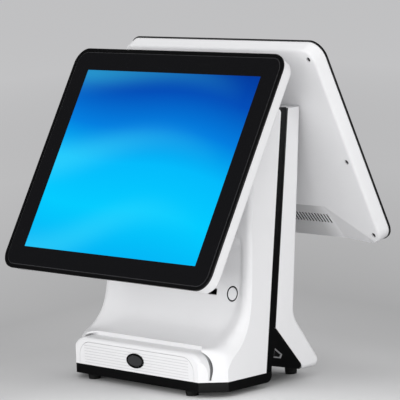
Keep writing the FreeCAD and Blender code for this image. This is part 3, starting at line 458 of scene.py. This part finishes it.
# --- Touch glasses --------------------------------------------------------------------------------
# A sheet of glass from edge to edge, printed black on its back outside the picture.
# The operator's is lit: soft bands of blue and cyan drift across it. The customer's is switched off.

half_glass = {"operator": (0.1785, 0.1375), "customer": (0.1645, 0.1265)}
glass_corner, ground_highlight_width = 0.0155, 0.0008
picture_width, picture_height = 0.3041, 0.2281
# How far in front of the glass's middle its front face counts from.
past_middle = 0.001


def printed_glass(name, side):
    """Black-backed glass with a ground edge painted paler, partly as a painted highlight; returns it with a
    mask of the picture's front and its axes.
    """
    finish = Finish(name, (0.006, 0.006, 0.0068), 0.06, Specular_IOR_Level=0.22)
    smear = finish.add("TexNoise", {}, {"Vector": finish.place, "Scale": 22.0, "Detail": 5.0})
    across, inwards, rise = finish.axes(lean[side], glass_centre[side])
    ground = finish.outside(across, rise, half_glass[side], glass_corner) > -ground_highlight_width
    # The ground edge band is paler grey: the ground glass, and a painted highlight.
    finish.tint(ground, (0.05, 0.05, 0.053))
    finish.drive("Roughness", 0.04 + 0.05 * smear + 0.3 * ground)
    in_width = finish.math("ABSOLUTE", across) < picture_width / 2
    in_height = finish.math("ABSOLUTE", rise) < picture_height / 2
    on_front = inwards * facing[side] < -past_middle
    return finish, in_width * in_height * on_front, across, rise


lit_glass, picture, across, rise = printed_glass("lit_glass", "operator")
height = rise * (1 / picture_height) + 0.5
width = across * (1 / picture_width) + 0.5
sway = lit_glass.math("SINE", width * 5.2 + 0.9)
ripple = lit_glass.math("SINE", width * 3.1 + height * 2.0 + 2.2)
fall = height + 0.14 * width + 0.035 * sway
sky = lit_glass.add("ValToRGB", {"stops": [
    (0.0, (0.0, 0.44, 0.90, 1)), (0.28, (0.0, 0.60, 1.0, 1)), (0.50, (0.0, 0.50, 0.97, 1)),
    (0.68, (0.0, 0.21, 0.74, 1)), (0.86, (0.0, 0.075, 0.48, 1)), (1.0, (0.0, 0.045, 0.35, 1))]},
    {"Fac": fall * 0.9})
band = lit_glass.math("SINE", (height + 0.10 * ripple + 0.05 * sway) * 15.0)
band_light = lit_glass.add("Math", {"operation": "POWER", "use_clamp": True}, {0: band * 0.5 + 0.5, 1: 3.0})
fade = lit_glass.add("MapRange", {}, {"Value": width, 1: 0.95, 2: 0.05, 3: 0.0, 4: 0.3})
lit = lit_glass.mix(band_light * fade, sky, (0.06, 0.80, 1.0, 1))
lit_glass.tint(picture, (0, 0, 0))
lit_glass.drive("Emission Color", lit_glass.mix(picture, (0, 0, 0, 1), lit))
lit_glass.shader.inputs["Emission Strength"].default_value = 1.0
dress("operator_touch_glass", "operator_display", lit_glass)
dark_glass, picture = printed_glass("dark_glass", "customer")[:2]
dark_glass.tint(picture, (0.016, 0.017, 0.020))
dark_glass.shader.inputs["Specular IOR Level"].default_value = 0.5
dress("customer_touch_glass", "customer_display", dark_glass)


# --- Stage ----------------------------------------------------------------------------------------
# A pale grey sweep under and behind the terminal, lit by softboxes from the front, the side and above.
# The sweep is pale in front, darkest a little behind the terminal and paler beyond. Reflections see a
# dim world, so that blacks stay black.

# Where the camera looks, in plan, and the place on the sweep's tones under, behind and beside the terminal.
camera_heading = (-0.745, 0.66)
tone_under, tone_behind, tone_beside = 0.235, 0.125, 0.20


def backdrop_color(name, stops):
    """Tones by distance behind the terminal; reflections see a bright floor at its front right only."""
    finish = Finish(name, (0.5, 0.5, 0.5), 0.9, Specular_IOR_Level=0.0)
    side, away = finish.axes()[:2]
    behind = away * camera_heading[1] + side * camera_heading[0]
    beside = finish.math("ABSOLUTE", side * camera_heading[1] - away * camera_heading[0])
    place = behind * tone_behind + beside * tone_beside + tone_under
    tone = finish.add("ValToRGB", {"stops": stops}, {"Fac": place})
    glint = finish.add("ValToRGB", {"stops": [(0.2, (0.05, 0.05, 0.05, 1)), (0.45, (1.0, 1.0, 1.0, 1))]},
                       {"Fac": side - away})
    mirrored = finish.add("LightPath", {}, {}, "Is Glossy Ray")
    finish.drive("Base Color", finish.mix(mirrored, tone, glint))
    return finish


def grey(value):
    return (value, value, value, 1)


sweep_tone = backdrop_color("sweep_grey", [
    (0.2225, grey(0.90)), (0.25, grey(0.70)), (0.27, grey(0.58)), (0.30, grey(0.49)), (0.34, grey(0.435)),
    (0.5875, grey(0.64)), (1.0, grey(0.80))])
bpy.ops.mesh.primitive_plane_add(size=30, location=(0, 0, -0.0002))
sweep = bpy.context.object
sweep.name = "sweep"
sweep.data.materials.append(sweep_tone.material)


def softbox(name, place, target, size, power, glossy=True):
    bpy.ops.object.light_add(type="AREA", location=place)
    lamp = bpy.context.object
    lamp.name = name
    lamp.rotation_euler = (Vector(target) - Vector(place)).to_track_quat("-Z", "Y").to_euler()
    lamp.data.shape = "RECTANGLE"
    lamp.data.size, lamp.data.size_y = size
    lamp.data.energy = power
    lamp.visible_camera = False
    lamp.visible_glossy = glossy


softbox("key_softbox", (1.6, -2.4, 1.9), (0, 0, 0.2), (1.6, 1.6), 10)
softbox("front_softbox", (-0.7, -2.6, 0.7), (0, 0, 0.15), (2.2, 1.2), 20, False)
softbox("corner_softbox", (1.9, -2.3, 0.35), (0, 0, 0.25), (1.2, 0.6), 23, False)
softbox("side_softbox", (2.6, 0.6, 1.2), (0, 0, 0.2), (1.4, 1.4), 14, False)
softbox("top_softbox", (-0.6, 0.4, 2.6), (0, 0, 0.2), (2.0, 2.0), 12, False)

studio = bpy.data.worlds.new("studio")
studio.use_nodes = True
bpy.context.scene.world = studio
air = studio.node_tree.nodes["Background"]
shade = studio.node_tree.nodes.new("ShaderNodeMix")
shade.data_type = "RGBA"
shade.inputs[6].default_value = (0.66, 0.66, 0.67, 1)
shade.inputs[7].default_value = (0.04, 0.04, 0.04, 1)
rays = studio.node_tree.nodes.new("ShaderNodeLightPath")
studio.node_tree.links.new(rays.outputs["Is Glossy Ray"], shade.inputs[0])
studio.node_tree.links.new(shade.outputs[2], air.inputs["Color"])

bpy.ops.object.camera_add(location=(2.3693, -2.0830, 0.5733),
                          rotation=[math.radians(turn) for turn in (83.3782, 2.2023, 48.3773)])
camera = bpy.context.object
camera.data.lens = 243.567
camera.data.sensor_width = 36
camera.data.clip_end = 100
bpy.context.scene.camera = camera
bpy.context.scene.view_settings.view_transform = "Standard"
